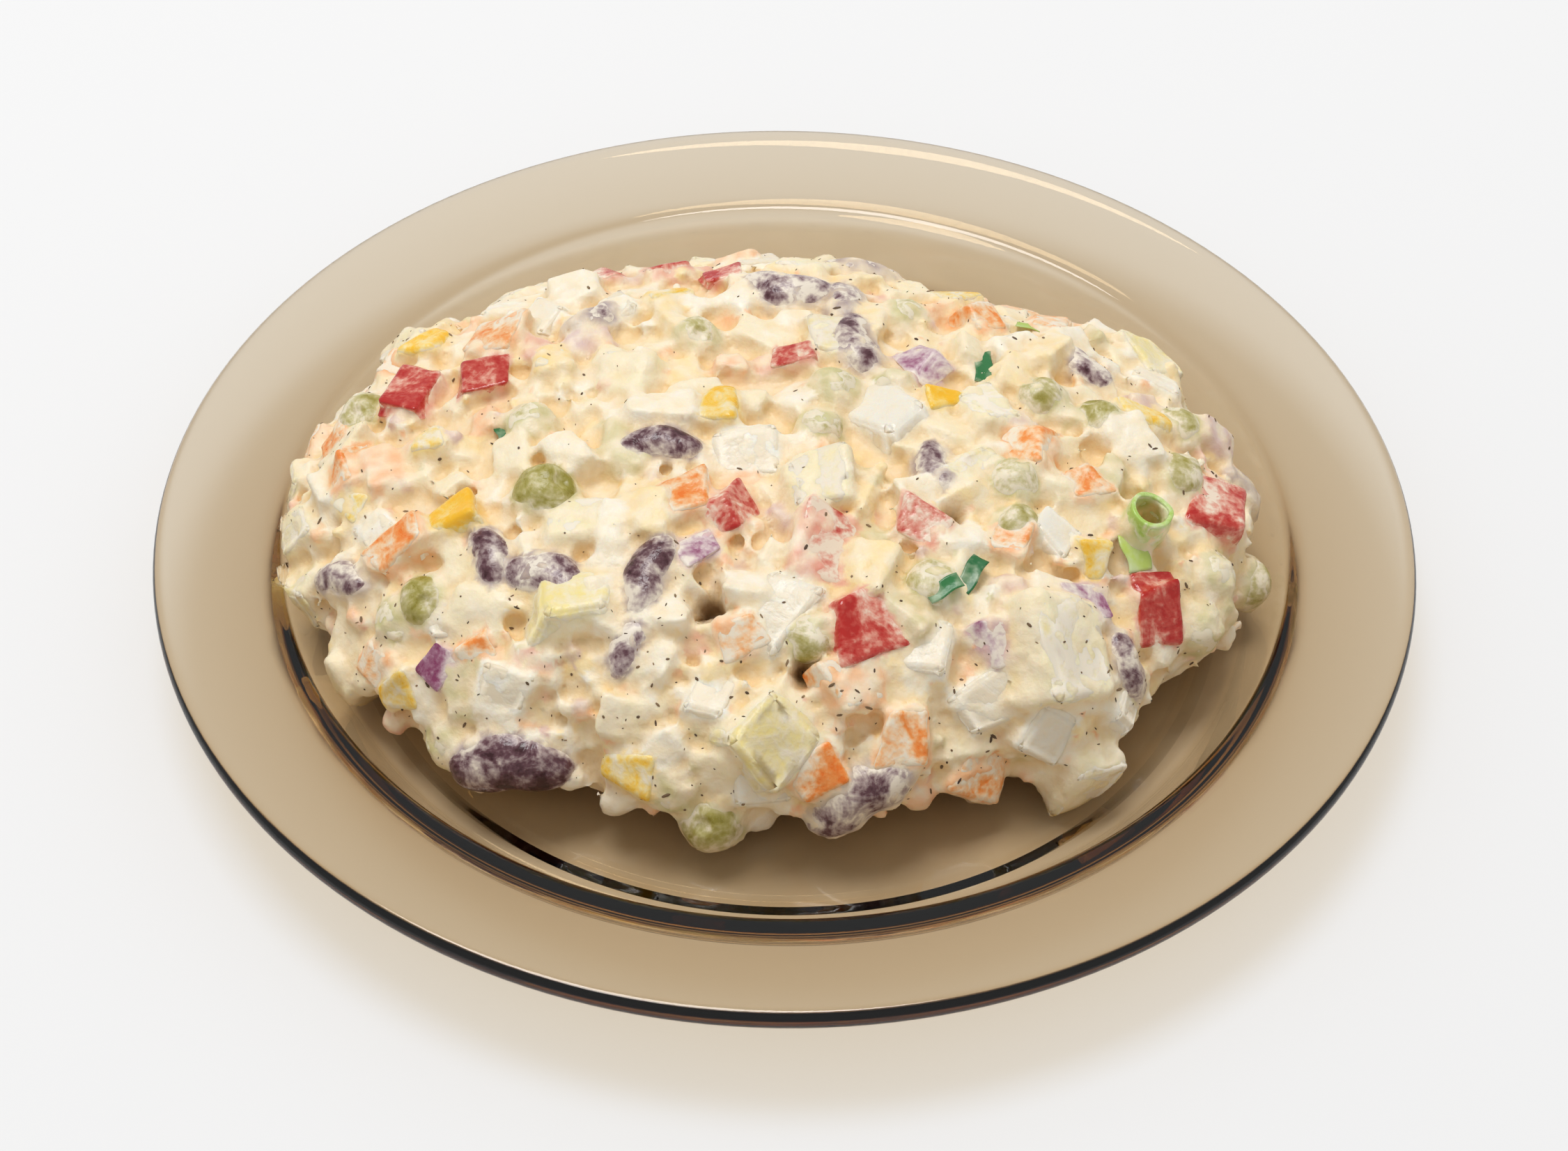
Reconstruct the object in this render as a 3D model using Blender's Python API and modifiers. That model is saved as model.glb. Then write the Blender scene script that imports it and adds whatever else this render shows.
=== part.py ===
"""Olivier salad heaped on a shallow smoked-glass plate.

The plate is a turned shell. The salad is one solid: a lumpy mound with its
peas, beans, diced vegetables and egg fused on. Metres, +Z up. The origin is
on the plate's axis, in the plane that its foot stands on.
"""
import math
import random

import bmesh
import bpy
from mathutils import Matrix, Vector, noise

MM = 0.001

# Plate, in millimetres
PLATE_RADIUS = 97.5
PLATE_HEIGHT = 16.6
GLASS = 3.1
FLOOR_Z = 4.1
FLOOR_RADIUS = 71.7
BEND_RADIUS = 78.0
RIM_RISE = 2.9
FOOT_OUTER = 68.0
FOOT_WIDTH = 3.0
FOOT_DEPTH = 0.6
UNDERSIDE_RADIUS = 74.1
UNDERSIDE_Z = 0.9
OUTER_BEND_RADIUS = 80.9
LIP_WIDTH = 1.5
PLATE_STEPS = 48

# Heap, in millimetres: how far it reaches from the axis, every 15 degrees
# from +X anticlockwise, and how high it stands above the glass
REACH = (74, 71, 70, 62.5, 54, 56, 57, 57, 61, 65.5, 73, 76,
         78, 74, 70, 66, 59, 58, 56, 57, 56, 65, 64, 71)
HEAP_HEIGHT = 31.5
SHOULDER = 3.2
WAIST = 4.5
CORE_SHRINK = 1.2
CORE_LUMP = 1.3
LUMP_SIZE = 13.0
GAP = 0.35
CORE_COLUMNS = 36
CORE_ROWS = 14

# Pieces that show, by kind: x, y, length, turn in degrees about the heap's
# own normal. Lengths and places are in millimetres.
PIECES = {
    "bean": ((-1, 32, 17, -15), (10, 18, 15, -45), (-19, -6, 13, 60),
             (-20, -31, 15, 85), (-43, -25, 12, -15), (-34, -30, 16, 5),
             (-66, -20, 12, 40), (-39, -49, 19, 8), (11, -55, 18, 35),
             (50, -35, 12, 80), (46, 18, 11, 20), (22, -10, 12, 70),
             (-30, 25, 12, 20), (-22, -40, 12, 80)),
    "pea": ((-66, 12, 9.2, 0), (-36, -15, 10.3, 20), (-53, -29, 9, 0),
            (-57, -30, 8, 0), (-39, 0, 8, 0), (-10, -57, 10, 90),
            (-16, -55, 8.5, 0), (7, 7, 9, 0), (5, -1, 7.5, 0), (18, 28, 8, 0),
            (39, 8, 8.6, 0), (48, 5, 8.6, 0), (34, -11, 8.6, 0),
            (34, -19, 7.6, 0), (61, 11, 8.6, 0), (60, -2, 8.8, 0),
            (62, -24, 9.2, 0), (65, -16, 8.8, 0), (4, -40, 8, 0),
            (16, 9, 6.5, 0)),
    "corn": ((-57, 26, 8.5, 10), (-49, -18, 9, 70), (-66, -8, 6.5, 30),
             (-10, 2, 9.5, 10), (24, 5, 6, 80), (55, 7, 9, 90),
             (45, -22, 6.5, 60), (-22, -53, 8.8, 0), (-56, -38, 7.5, 40),
             (-54, -1, 6.5, 0)),
    "potato": ((-31, -35, 11.5, 20), (-3, -52, 13, 35), (28, -11, 9.5, 10),
               (30, 4, 8.5, 15), (39, -38, 15, 60), (45, -47, 10, 80),
               (8, 19, 9, 30), (-30, -21, 9, 50), (57, 31, 9.5, 20),
               (-75, -6, 8, 70)),
    "egg": ((-38, 28, 8, 30), (-28, 27, 8, 0), (15, 1, 12.5, 25),
            (-6, -6, 9, 40), (0, -36, 12, 55), (40, -19, 7.5, 20),
            (-49, -33, 7.5, 40), (21, -40, 9, 60), (-10, -48, 7, 70),
            (-41, -43, 9, 10), (30, -44, 10, 30), (50, -38, 8.5, 20),
            (38, -46, 9, 60), (-61, -15, 7.5, 20), (58, 24, 8, 40),
            (-3, -55, 8, 0)),
    "carrot": ((-62, 24, 7, 10), (-45, 22, 9, 15), (-74, 15, 8, 60),
               (-69, 8, 8, 20), (-66, -3, 7.5, 0), (-56, -20, 8.5, 80),
               (-15, -17, 8, 40), (-6, -40, 6.5, 20), (37, -4, 9.5, 5),
               (45, -10, 6.5, 45), (5, -54, 8, 30), (18, -50, 8, 70),
               (9, -46, 9, 10), (-44, -38, 6, 50), (33, -22, 6.5, 10),
               (-59, -34, 7.5, 10)),
    "pepper": ((-58, 11, 10, -5), (-47, 12, 8.5, 25), (-31, 41, 8, 5),
               (-11, 38, 6, 0), (1, 15, 7, 10), (-8, -19, 8, 60),
               (5, -25, 11, 65), (20, -21, 7, -50), (12, -38, 11, 5),
               (55, -25, 9.5, 70), (66, -5, 11.5, 10)),
    "onion": ((31, -38, 7.5, 15), (-50, -38, 6, 70), (21, 14, 7, -20),
              (-13, -27, 6, 60), (44, -29, 7, -35)),
    "ring": ((53, -15, 7, 0),),
}

# Proportions of a piece, as shares of its length, and how deep it is sunk
# below the heap's skin as a share of its height
FORM = {
    "bean": (1.0, 0.52, 0.46, 0.58),
    "pea": (1.0, 0.94, 0.92, 0.62),
    "corn": (1.0, 0.82, 0.66, 0.60),
    "potato": (1.0, 0.86, 0.72, 0.68),
    "egg": (1.0, 0.78, 0.55, 0.66),
    "carrot": (1.0, 0.86, 0.76, 0.68),
    "pepper": (1.0, 0.84, 0.55, 0.62),
    "onion": (1.0, 0.84, 0.42, 0.55),
    "ring": (1.0, 1.0, 1.3, 0.45),
}

# Pieces laid by rule where the list leaves the heap bare, mostly its back
# and its steep foot
FILL_TRIES = 900
FILL_COUNT = 60
FILL_SPACING = 9.5
FILL_ORDER = ("potato", "pea", "egg", "carrot", "potato", "corn", "bean",
              "egg", "pepper", "pea", "potato", "carrot")
FILL_LENGTH = {"potato": 9.5, "pea": 8.8, "egg": 8.5, "carrot": 7.5,
               "corn": 8.2, "bean": 15.0, "pepper": 8.5}
GOLDEN_ANGLE = math.radians(137.508)
FLAT = math.radians(1.5)


def fresh_collection(name):
    """A new collection linked to the scene."""
    coll = bpy.data.collections.new(name)
    bpy.context.scene.collection.children.link(coll)
    return coll


def material(name, colour, roughness, alpha=1.0):
    """One Principled material with the part's own colour."""
    mat = bpy.data.materials.new(name)
    mat.use_nodes = True
    bsdf = mat.node_tree.nodes["Principled BSDF"]
    bsdf.inputs["Base Color"].default_value = (*colour, 1.0)
    bsdf.inputs["Roughness"].default_value = roughness
    bsdf.inputs["Metallic"].default_value = 0.0
    bsdf.inputs["Alpha"].default_value = alpha
    return mat


def rounded(points, radii, steps):
    """A polyline (r, z) with an arc of the given radius at each inner corner."""
    out = [points[0]]
    for before, corner, after, radius in zip(points, points[1:], points[2:], radii):
        corner = Vector(corner)
        to_before = Vector(before) - corner
        to_after = Vector(after) - corner
        half = to_before.angle(to_after) / 2
        reach_ = min(radius / math.tan(half), to_before.length / 2, to_after.length / 2)
        start = corner + to_before.normalized() * reach_
        end = corner + to_after.normalized() * reach_
        for i in range(steps + 1):
            t = i / steps
            out.append(tuple(start * (1 - t) ** 2 + corner * 2 * t * (1 - t) + end * t ** 2))
    out.append(points[-1])
    return out


def inner_profile():
    """The plate's upper side in section, from the axis out to the lip."""
    bend_z = PLATE_HEIGHT - RIM_RISE
    corners = ((0, FLOOR_Z), (FLOOR_RADIUS, FLOOR_Z), (BEND_RADIUS, bend_z),
               (PLATE_RADIUS - LIP_WIDTH, PLATE_HEIGHT))
    return rounded(corners, (4.0, 2.0), 4)


def outer_profile():
    """The plate's underside in section, from the lip in to the axis."""
    bend_z = PLATE_HEIGHT - RIM_RISE - GLASS
    inside = FOOT_OUTER - FOOT_WIDTH
    corners = ((PLATE_RADIUS - LIP_WIDTH, PLATE_HEIGHT - GLASS),
               (OUTER_BEND_RADIUS, bend_z), (UNDERSIDE_RADIUS, UNDERSIDE_Z),
               (FOOT_OUTER + 1.2, UNDERSIDE_Z - 0.1), (FOOT_OUTER, 0),
               (inside, 0), (inside - 1.5, FOOT_DEPTH), (0, FOOT_DEPTH))
    return rounded(corners, (5.0, 4.0, 0.5, 0.6, 0.6, 0.8), 2)


def lip_profile():
    """The rounded edge between the two sides."""
    centre_r = PLATE_RADIUS - LIP_WIDTH
    centre_z = PLATE_HEIGHT - GLASS / 2
    steps = 6
    out = []
    for i in range(1, steps):
        a = math.pi / 2 - math.pi * i / steps
        out.append((centre_r + LIP_WIDTH * math.cos(a), centre_z + GLASS / 2 * math.sin(a)))
    return out


def turned(name, profile, coll):
    """A solid of revolution from a closed-to-the-axis profile in millimetres."""
    mesh = bpy.data.meshes.new(name)
    verts = [(r * MM, 0, z * MM) for r, z in profile]
    edges = [(i, i + 1) for i in range(len(verts) - 1)]
    mesh.from_pydata(verts, edges, [])
    obj = bpy.data.objects.new(name, mesh)
    coll.objects.link(obj)
    screw = obj.modifiers.new("turn", "SCREW")
    screw.steps = PLATE_STEPS
    screw.render_steps = PLATE_STEPS
    screw.use_merge_vertices = True
    screw.merge_threshold = 0.00001
    return obj


def freeze(obj):
    """Replace an object's mesh with what its modifiers make of it."""
    graph = bpy.context.evaluated_depsgraph_get()
    mesh = bpy.data.meshes.new_from_object(obj.evaluated_get(graph))
    old = obj.data
    obj.modifiers.clear()
    obj.data = mesh
    bpy.data.meshes.remove(old)


def reach(angle):
    """How far the heap reaches in one direction, in millimetres."""
    place = (angle % math.tau) / math.tau * len(REACH)
    i = int(place)
    f = place - i
    f = f * f * (3 - 2 * f)
    return REACH[i % len(REACH)] * (1 - f) + REACH[(i + 1) % len(REACH)] * f


def skin(angle, level):
    """A point of the heap's smooth skin: level runs from 0, its widest, to 1."""
    r = reach(angle) * (1 - level ** 2) ** (1 / SHOULDER)
    z = FLOOR_Z + WAIST + (HEAP_HEIGHT - WAIST) * level
    return Vector((r * math.cos(angle), r * math.sin(angle), z))


def skin_level(x, y):
    """The level of the skin over a place on the plate."""
    t = min(1.0, math.hypot(x, y) / reach(math.atan2(y, x)))
    return math.sqrt(max(0.0, 1 - t ** SHOULDER))


def skin_normal(angle, level):
    """Outward direction of the skin, level with the plate at the heap's foot."""
    level = min(level, 0.995)
    step = 0.02
    up = skin(angle, min(level + step, 1.0)) - skin(angle, max(level - step, 0.0))
    round_ = skin(angle + step, level) - skin(angle - step, level)
    return round_.cross(up).normalized()


def glass_z(r):
    """Height of the glass at a distance from the axis."""
    line = inner_profile()
    for (r0, z0), (r1, z1) in zip(line, line[1:]):
        if r0 <= r <= r1 and r1 > r0:
            return z0 + (z1 - z0) * (r - r0) / (r1 - r0)
    return PLATE_HEIGHT


def heap_core(name, coll):
    """The mound under the pieces: a sphere drawn out to the heap's outline."""
    bpy.ops.mesh.primitive_uv_sphere_add(segments=CORE_COLUMNS, ring_count=CORE_ROWS, radius=1)
    obj = bpy.context.object
    obj.name = name
    obj.data.name = name
    for owner in list(obj.users_collection):
        owner.objects.unlink(obj)
    coll.objects.link(obj)
    for v in obj.data.vertices:
        angle = math.atan2(v.co.y, v.co.x)
        level = math.asin(max(-1.0, min(1.0, v.co.z)))
        across = max(0.0, math.cos(level))
        span = reach(angle) - CORE_SHRINK
        if level >= 0:
            r = span * across ** (2 / SHOULDER)
            z = FLOOR_Z + WAIST + (HEAP_HEIGHT - CORE_SHRINK - WAIST) * math.sin(level)
        else:
            r = span * across ** 0.3
            z = FLOOR_Z + WAIST - (WAIST - GAP / 2) * -math.sin(level)
        x, y = r * math.cos(angle), r * math.sin(angle)
        lump = noise.noise(Vector((x, y, z)) / LUMP_SIZE) * CORE_LUMP * across
        out = Vector((x, y, (z - FLOOR_Z) * 1.5)).normalized()
        if level > -0.2:
            x, y, z = Vector((x, y, z)) + out * lump
        z = max(z, glass_z(math.hypot(x, y)) + GAP / 2)
        v.co = (x * MM, y * MM, z * MM)
    return obj


def unit_bean(bm):
    """A kidney shape one unit long, bent in its own plane."""
    bmesh.ops.create_uvsphere(bm, u_segments=10, v_segments=7, radius=0.5)
    bmesh.ops.rotate(bm, verts=bm.verts, matrix=Matrix.Rotation(math.radians(90), 3, "Y"))
    for v in bm.verts:
        v.co.y -= 0.55 * v.co.x ** 2


def unit_pea(bm):
    """A ball with few faces."""
    bmesh.ops.create_uvsphere(bm, u_segments=9, v_segments=6, radius=0.5)


def unit_kernel(bm):
    """A corn kernel: round at the crown, narrow at the tip."""
    bmesh.ops.create_uvsphere(bm, u_segments=10, v_segments=6, radius=0.5)
    bmesh.ops.rotate(bm, verts=bm.verts, matrix=Matrix.Rotation(math.radians(90), 3, "Y"))
    for v in bm.verts:
        taper = 0.8 + 0.5 * v.co.x
        v.co.y *= taper
        v.co.z *= taper


def unit_dice(bm):
    """A cut cube with its edges worn round."""
    bmesh.ops.create_cube(bm, size=1.0)
    bmesh.ops.bevel(bm, geom=bm.edges[:], offset=0.16, segments=1,
                    profile=0.5, affect="EDGES", clamp_overlap=True)


def unit_chip(bm):
    """A sharp cut piece, a little out of square."""
    bmesh.ops.create_cube(bm, size=1.0)
    for v in bm.verts:
        if v.co.z > 0:
            v.co.x = v.co.x * 0.84 + 0.05
            v.co.y *= 0.9


def unit_ring(bm):
    """A cut length of hollow stalk, standing on end."""
    sides = 12
    for radius, height in ((0.34, 0.5), (0.5, 0.42), (0.5, -0.5), (0.34, -0.5)):
        for i in range(sides):
            a = math.tau * i / sides
            bm.verts.new((radius * math.cos(a), radius * math.sin(a), height))
    bm.verts.ensure_lookup_table()
    for k in range(4):
        for i in range(sides):
            a, b = k * sides, ((k + 1) % 4) * sides
            j = (i + 1) % sides
            bm.faces.new([bm.verts[n] for n in (a + i, b + i, b + j, a + j)])
    bmesh.ops.recalc_face_normals(bm, faces=bm.faces[:])


UNIT = {"bean": unit_bean, "pea": unit_pea, "corn": unit_kernel, "potato": unit_dice,
        "egg": unit_chip, "carrot": unit_chip, "pepper": unit_chip, "onion": unit_chip,
        "ring": unit_ring}


def seat(kind, angle, level, length, turn, rng):
    """The placing of one piece on the skin: rotation, size and centre."""
    along, across, thick, sunk = FORM[kind]
    normal = skin_normal(angle, level)
    centre = skin(angle, level) + normal * length * thick * (0.5 - sunk)
    low = glass_z(math.hypot(centre.x, centre.y)) + GAP + length * thick * 0.42
    centre.z = max(centre.z, low)
    lean = Matrix.Rotation(math.radians(rng.uniform(-16, 16)), 4, "X")
    face = normal.to_track_quat("Z", "Y").to_matrix().to_4x4()
    spin = Matrix.Rotation(math.radians(turn), 4, "Z")
    size = Matrix.Diagonal((length * along, length * across, length * thick, 1.0))
    return Matrix.Translation(centre) @ face @ spin @ lean @ size


def add_piece(kind, place, index, coll):
    """One piece as its own object in the collection that the union reads."""
    name = f"{kind}_{index:03d}"
    mesh = bpy.data.meshes.new(name)
    bm = bmesh.new()
    UNIT[kind](bm)
    bmesh.ops.transform(bm, matrix=Matrix.Scale(MM, 4) @ place, verts=bm.verts)
    bm.to_mesh(mesh)
    bm.free()
    obj = bpy.data.objects.new(name, mesh)
    coll.objects.link(obj)


def fill_places(taken):
    """Places for the pieces laid by rule: a sunflower spread, kept apart."""
    levels = [math.sin(math.pi / 2 * i / 60) for i in range(61)]
    slope = [skin(math.pi / 2, v) for v in reversed(levels)]
    area = [0.0]
    for a, b in zip(slope, slope[1:]):
        area.append(area[-1] + (b - a).length * (a.y + b.y))
    out = []
    for k in range(FILL_TRIES):
        angle = k * GOLDEN_ANGLE
        wanted = area[-1] * (k * 7 % FILL_TRIES + 0.5) / FILL_TRIES
        ring = next(i for i, v in enumerate(area) if v >= wanted)
        level = levels[len(levels) - 1 - ring]
        point = skin(angle, level)
        if min((point - other).length for other in taken) > FILL_SPACING:
            out.append((angle, level))
            taken.append(point)
        if len(out) == FILL_COUNT:
            break
    return out


def clearance(coll):
    """The plate's upper side raised by the gap, closed below: a cutter."""
    line = [Vector(p) for p in inner_profile()]
    raised = []
    for i, p in enumerate(line):
        ahead = line[min(i + 1, len(line) - 1)]
        behind = line[max(i - 1, 0)]
        along = (ahead - behind).normalized()
        raised.append((max(0.0, p.x - along.y * GAP), p.y + along.x * GAP))
    raised[0] = (0.0, raised[0][1])
    outside = PLATE_RADIUS + 6
    profile = raised + [(outside, PLATE_HEIGHT + 1), (outside, -6), (0, -6)]
    cutter = turned("clearance", profile, coll)
    cutter.hide_render = True
    cutter.display_type = "WIRE"
    return cutter


def drop_scraps(obj):
    """Keep the largest connected shell of a mesh, its flat faces whole."""
    bm = bmesh.new()
    bm.from_mesh(obj.data)
    left = set(bm.faces)
    shells = []
    while left:
        front = [left.pop()]
        shell = set(front)
        while front:
            for edge in front.pop().edges:
                for face in edge.link_faces:
                    if face in left:
                        left.remove(face)
                        shell.add(face)
                        front.append(face)
        shells.append(shell)
    shells.sort(key=len)
    scraps = [f for shell in shells[:-1] for f in shell]
    bmesh.ops.delete(bm, geom=scraps, context="FACES")
    bmesh.ops.dissolve_limit(bm, angle_limit=FLAT, verts=bm.verts[:], edges=bm.edges[:])
    bmesh.ops.triangulate(bm, faces=bm.faces[:])
    bm.to_mesh(obj.data)
    bm.free()


def build_plate(coll):
    """The glass plate, one turned shell."""
    plate = turned("plate", inner_profile() + lip_profile() + outer_profile(), coll)
    plate.data.materials.append(material("smoked_glass", (0.32, 0.23, 0.14), 0.05, 0.45))
    freeze(plate)
    plate.data.shade_smooth()
    plate.data.set_sharp_from_angle(angle=math.radians(35))
    return plate


def build_salad(coll):
    """The heap: its core and pieces as one solid, clear of the glass."""
    pieces = fresh_collection("salad_pieces")
    cutters = fresh_collection("cutters")
    salad = heap_core("salad", coll)
    rng = random.Random(7)
    taken = []
    for kind, rows in PIECES.items():
        for index, (x, y, length, turn) in enumerate(rows):
            angle = math.atan2(y, x)
            level = skin_level(x, y)
            add_piece(kind, seat(kind, angle, level, length, turn, rng), index, pieces)
            taken.append(skin(angle, level))
    for index, (angle, level) in enumerate(fill_places(taken)):
        kind = FILL_ORDER[index % len(FILL_ORDER)]
        length = FILL_LENGTH[kind] * rng.uniform(0.85, 1.12)
        place = seat(kind, angle, level, length, rng.uniform(0, 180), rng)
        add_piece(kind, place, 100 + index, pieces)
    union = salad.modifiers.new("pieces", "BOOLEAN")
    union.operation = "UNION"
    union.operand_type = "COLLECTION"
    union.collection = pieces
    union.solver = "MANIFOLD"
    cut = salad.modifiers.new("clearance", "BOOLEAN")
    cut.operation = "DIFFERENCE"
    cut.object = clearance(cutters)
    cut.solver = "MANIFOLD"
    freeze(salad)
    for obj in list(pieces.objects) + list(cutters.objects):
        bpy.data.objects.remove(obj)
    for emptied in (pieces, cutters):
        bpy.data.collections.remove(emptied)
    drop_scraps(salad)
    salad.data.materials.clear()
    salad.data.materials.append(material("dressed_salad", (0.87, 0.76, 0.58), 0.45))
    return salad


for old in list(bpy.data.objects):
    bpy.data.objects.remove(old)

dish = fresh_collection("olivier_salad")
build_plate(dish)
build_salad(dish)
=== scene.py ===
# %% [markdown]
# # Olivier salad on a smoked glass plate
# This olivier is diced potato, egg, peas, beans, corn, carrot, sweet pepper and onion,
# bound with mayonnaise. What makes it look like food, and not like a pile of blocks, is
# the dressing: it fills every gap, coats most pieces, and lets only some faces of them
# through. So the pieces come first, then the dressing as a skin grown from the same
# pieces, and last its colour, painted by what lies just under it.

# %% The frame
import math
import random

import bmesh
import bpy
import numpy as np
from mathutils import Matrix, Vector, noise
from mathutils.bvhtree import BVHTree


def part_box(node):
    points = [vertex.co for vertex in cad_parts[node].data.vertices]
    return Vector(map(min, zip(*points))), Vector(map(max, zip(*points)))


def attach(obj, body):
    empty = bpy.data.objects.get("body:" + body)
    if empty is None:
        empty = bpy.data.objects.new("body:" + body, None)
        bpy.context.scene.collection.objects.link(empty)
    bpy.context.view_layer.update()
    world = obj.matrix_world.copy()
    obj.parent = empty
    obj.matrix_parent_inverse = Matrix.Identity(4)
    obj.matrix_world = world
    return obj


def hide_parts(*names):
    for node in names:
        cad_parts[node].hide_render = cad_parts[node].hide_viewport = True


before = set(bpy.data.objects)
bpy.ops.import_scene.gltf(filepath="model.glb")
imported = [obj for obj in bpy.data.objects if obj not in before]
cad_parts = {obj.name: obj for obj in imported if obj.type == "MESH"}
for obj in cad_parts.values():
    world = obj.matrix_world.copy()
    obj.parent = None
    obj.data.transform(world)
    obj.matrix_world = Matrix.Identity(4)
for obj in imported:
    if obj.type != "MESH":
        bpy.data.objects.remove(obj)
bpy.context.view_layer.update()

# %% [markdown]
# ## Sizes
# Everything below is in millimetres and multiplied by MM only where it meets Blender.
# The plate's radius and height come from the frame, so the two can't drift apart.

# %% Sizes
MM = 0.001
plate_low, plate_high = (Vector(corner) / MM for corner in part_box("plate"))
PLATE_RADIUS = (plate_high.x - plate_low.x) / 2
PLATE_HEIGHT = plate_high.z
GLASS = 3.1
FLOOR_Z = 4.1
FLOOR_RADIUS = 71.7
BEND_RADIUS = 78.0
RIM_RISE = 2.9
FOOT_OUTER = 66.4
FOOT_WIDTH = 0.9
FOOT_SLOPE = 2.1
FOOT_INNER_SLOPE = 0.9
FOOT_DEPTH = 0.4
UNDERSIDE_RADIUS = 73.5
UNDERSIDE_Z = 0.9
UNDERSIDE_DIP = 0.1
OUTER_BEND_RADIUS = 80.3
LIP_WIDTH = 1.5

# The heap's reach from the axis every 15 degrees, from +X anticlockwise
REACH = (74, 71, 70, 62.5, 54, 56, 57, 57, 61, 65.5, 73, 76,
         78, 74, 70, 66, 59, 58, 56, 57, 56, 65, 64, 71)
HEAP_HEIGHT = 31.5
SHOULDER = 3.2
WAIST = 4.5

# %% [markdown]
# ## The skin of the heap
# The heap is an uneven mound. One function gives its smooth skin: a compass
# direction says how far it reaches, and a level from 0 at the waist to 1 at the top
# says how high the point is. Every piece is seated on this skin, so none floats.

# %% The skin of the heap
def reach(angle):
    """How far the heap reaches in one direction, in millimetres."""
    place = (angle % math.tau) / math.tau * len(REACH)
    i = int(place)
    f = place - i
    f = f * f * (3 - 2 * f)
    return REACH[i % len(REACH)] * (1 - f) + REACH[(i + 1) % len(REACH)] * f


def skin(angle, level):
    """A point of the smooth skin; level runs from 0, its widest, to 1."""
    r = reach(angle) * (1 - level ** 2) ** (1 / SHOULDER)
    z = FLOOR_Z + WAIST + (HEAP_HEIGHT - WAIST) * level
    return Vector((r * math.cos(angle), r * math.sin(angle), z))


def spot_over(x, y):
    """The angle and level of the skin over a place on the plate."""
    angle = math.atan2(y, x)
    t = min(1.0, math.hypot(x, y) / reach(angle))
    return angle, math.sqrt(max(0.0, 1 - t ** SHOULDER))


def skin_normal(angle, level):
    """Outward direction of the skin, level with the plate at the heap's foot."""
    level = min(level, 0.995)
    step = 0.02
    up = skin(angle, min(level + step, 1.0)) - skin(angle, max(level - step, 0.0))
    along = skin(angle + step, level) - skin(angle - step, level)
    return along.cross(up).normalized()


def face_along(normal):
    """The turn that takes +Z to a direction."""
    return normal.to_track_quat("Z", "Y").to_matrix().to_4x4()


# %% [markdown]
# ## Glass sections
# A pressed glass plate is a turned shape: one half section spun round the axis. The
# corners are arcs, because pressed and tempered glass has no sharp edge. Long straight
# stretches get extra points, so that smooth shading doesn't bend light there.

# %% Glass sections
def rounded(points, radii, steps):
    """A polyline (r, z) with an arc of the given radius at each inner corner."""
    out = [points[0]]
    for before, corner, after, radius in zip(points, points[1:], points[2:], radii):
        corner = Vector(corner)
        to_before = Vector(before) - corner
        to_after = Vector(after) - corner
        half = to_before.angle(to_after) / 2
        cut = min(radius / math.tan(half), to_before.length / 2, to_after.length / 2)
        start = corner + to_before.normalized() * cut
        end = corner + to_after.normalized() * cut
        for i in range(steps + 1):
            t = i / steps
            out.append(tuple(start * (1 - t) ** 2 + corner * 2 * t * (1 - t) + end * t ** 2))
    out.append(points[-1])
    return out


def evenly(points, longest):
    """The same polyline with no stretch longer than the given length."""
    out = [points[0]]
    for a, b in zip(points, points[1:]):
        parts = max(1, math.ceil(math.hypot(b[0] - a[0], b[1] - a[1]) / longest))
        for k in range(1, parts + 1):
            out.append((a[0] + (b[0] - a[0]) * k / parts, a[1] + (b[1] - a[1]) * k / parts))
    return out


def inner_section():
    """The plate's upper side, from the axis out to the lip."""
    corners = ((0, FLOOR_Z), (FLOOR_RADIUS, FLOOR_Z), (BEND_RADIUS, PLATE_HEIGHT - RIM_RISE),
               (PLATE_RADIUS - LIP_WIDTH, PLATE_HEIGHT))
    return rounded(corners, (4.0, 2.0), 8)


def outer_section():
    """The plate's underside, from the lip in to the axis."""
    inside = FOOT_OUTER - FOOT_WIDTH
    corners = ((PLATE_RADIUS - LIP_WIDTH, PLATE_HEIGHT - GLASS),
               (OUTER_BEND_RADIUS, PLATE_HEIGHT - RIM_RISE - GLASS),
               (UNDERSIDE_RADIUS, UNDERSIDE_Z),
               (FOOT_OUTER + FOOT_SLOPE, UNDERSIDE_Z - UNDERSIDE_DIP), (FOOT_OUTER, 0),
               (inside, 0), (inside - FOOT_INNER_SLOPE, FOOT_DEPTH), (0, FOOT_DEPTH))
    return rounded(corners, (5.0, 3.0, 0.5, 0.5, 0.5, 0.5), 5)


def lip_section():
    """The half round edge between the two sides."""
    angles = [math.pi / 2 - math.pi * i / 12 for i in range(1, 12)]
    return [(PLATE_RADIUS - LIP_WIDTH + LIP_WIDTH * math.cos(a),
             PLATE_HEIGHT - GLASS / 2 + GLASS / 2 * math.sin(a)) for a in angles]


GLASS_LINE = np.array(inner_section())


def glass_z(r):
    """Height of the glass at one distance from the axis, or at many."""
    return np.interp(r, GLASS_LINE[:, 0], GLASS_LINE[:, 1])


# %% [markdown]
# ## What lies where
# Each row is one piece that shows: its place on the plate (x and y), its length, its
# turn about the heap's own normal, and how bare it is of dressing, from 0 to 1.

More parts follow.
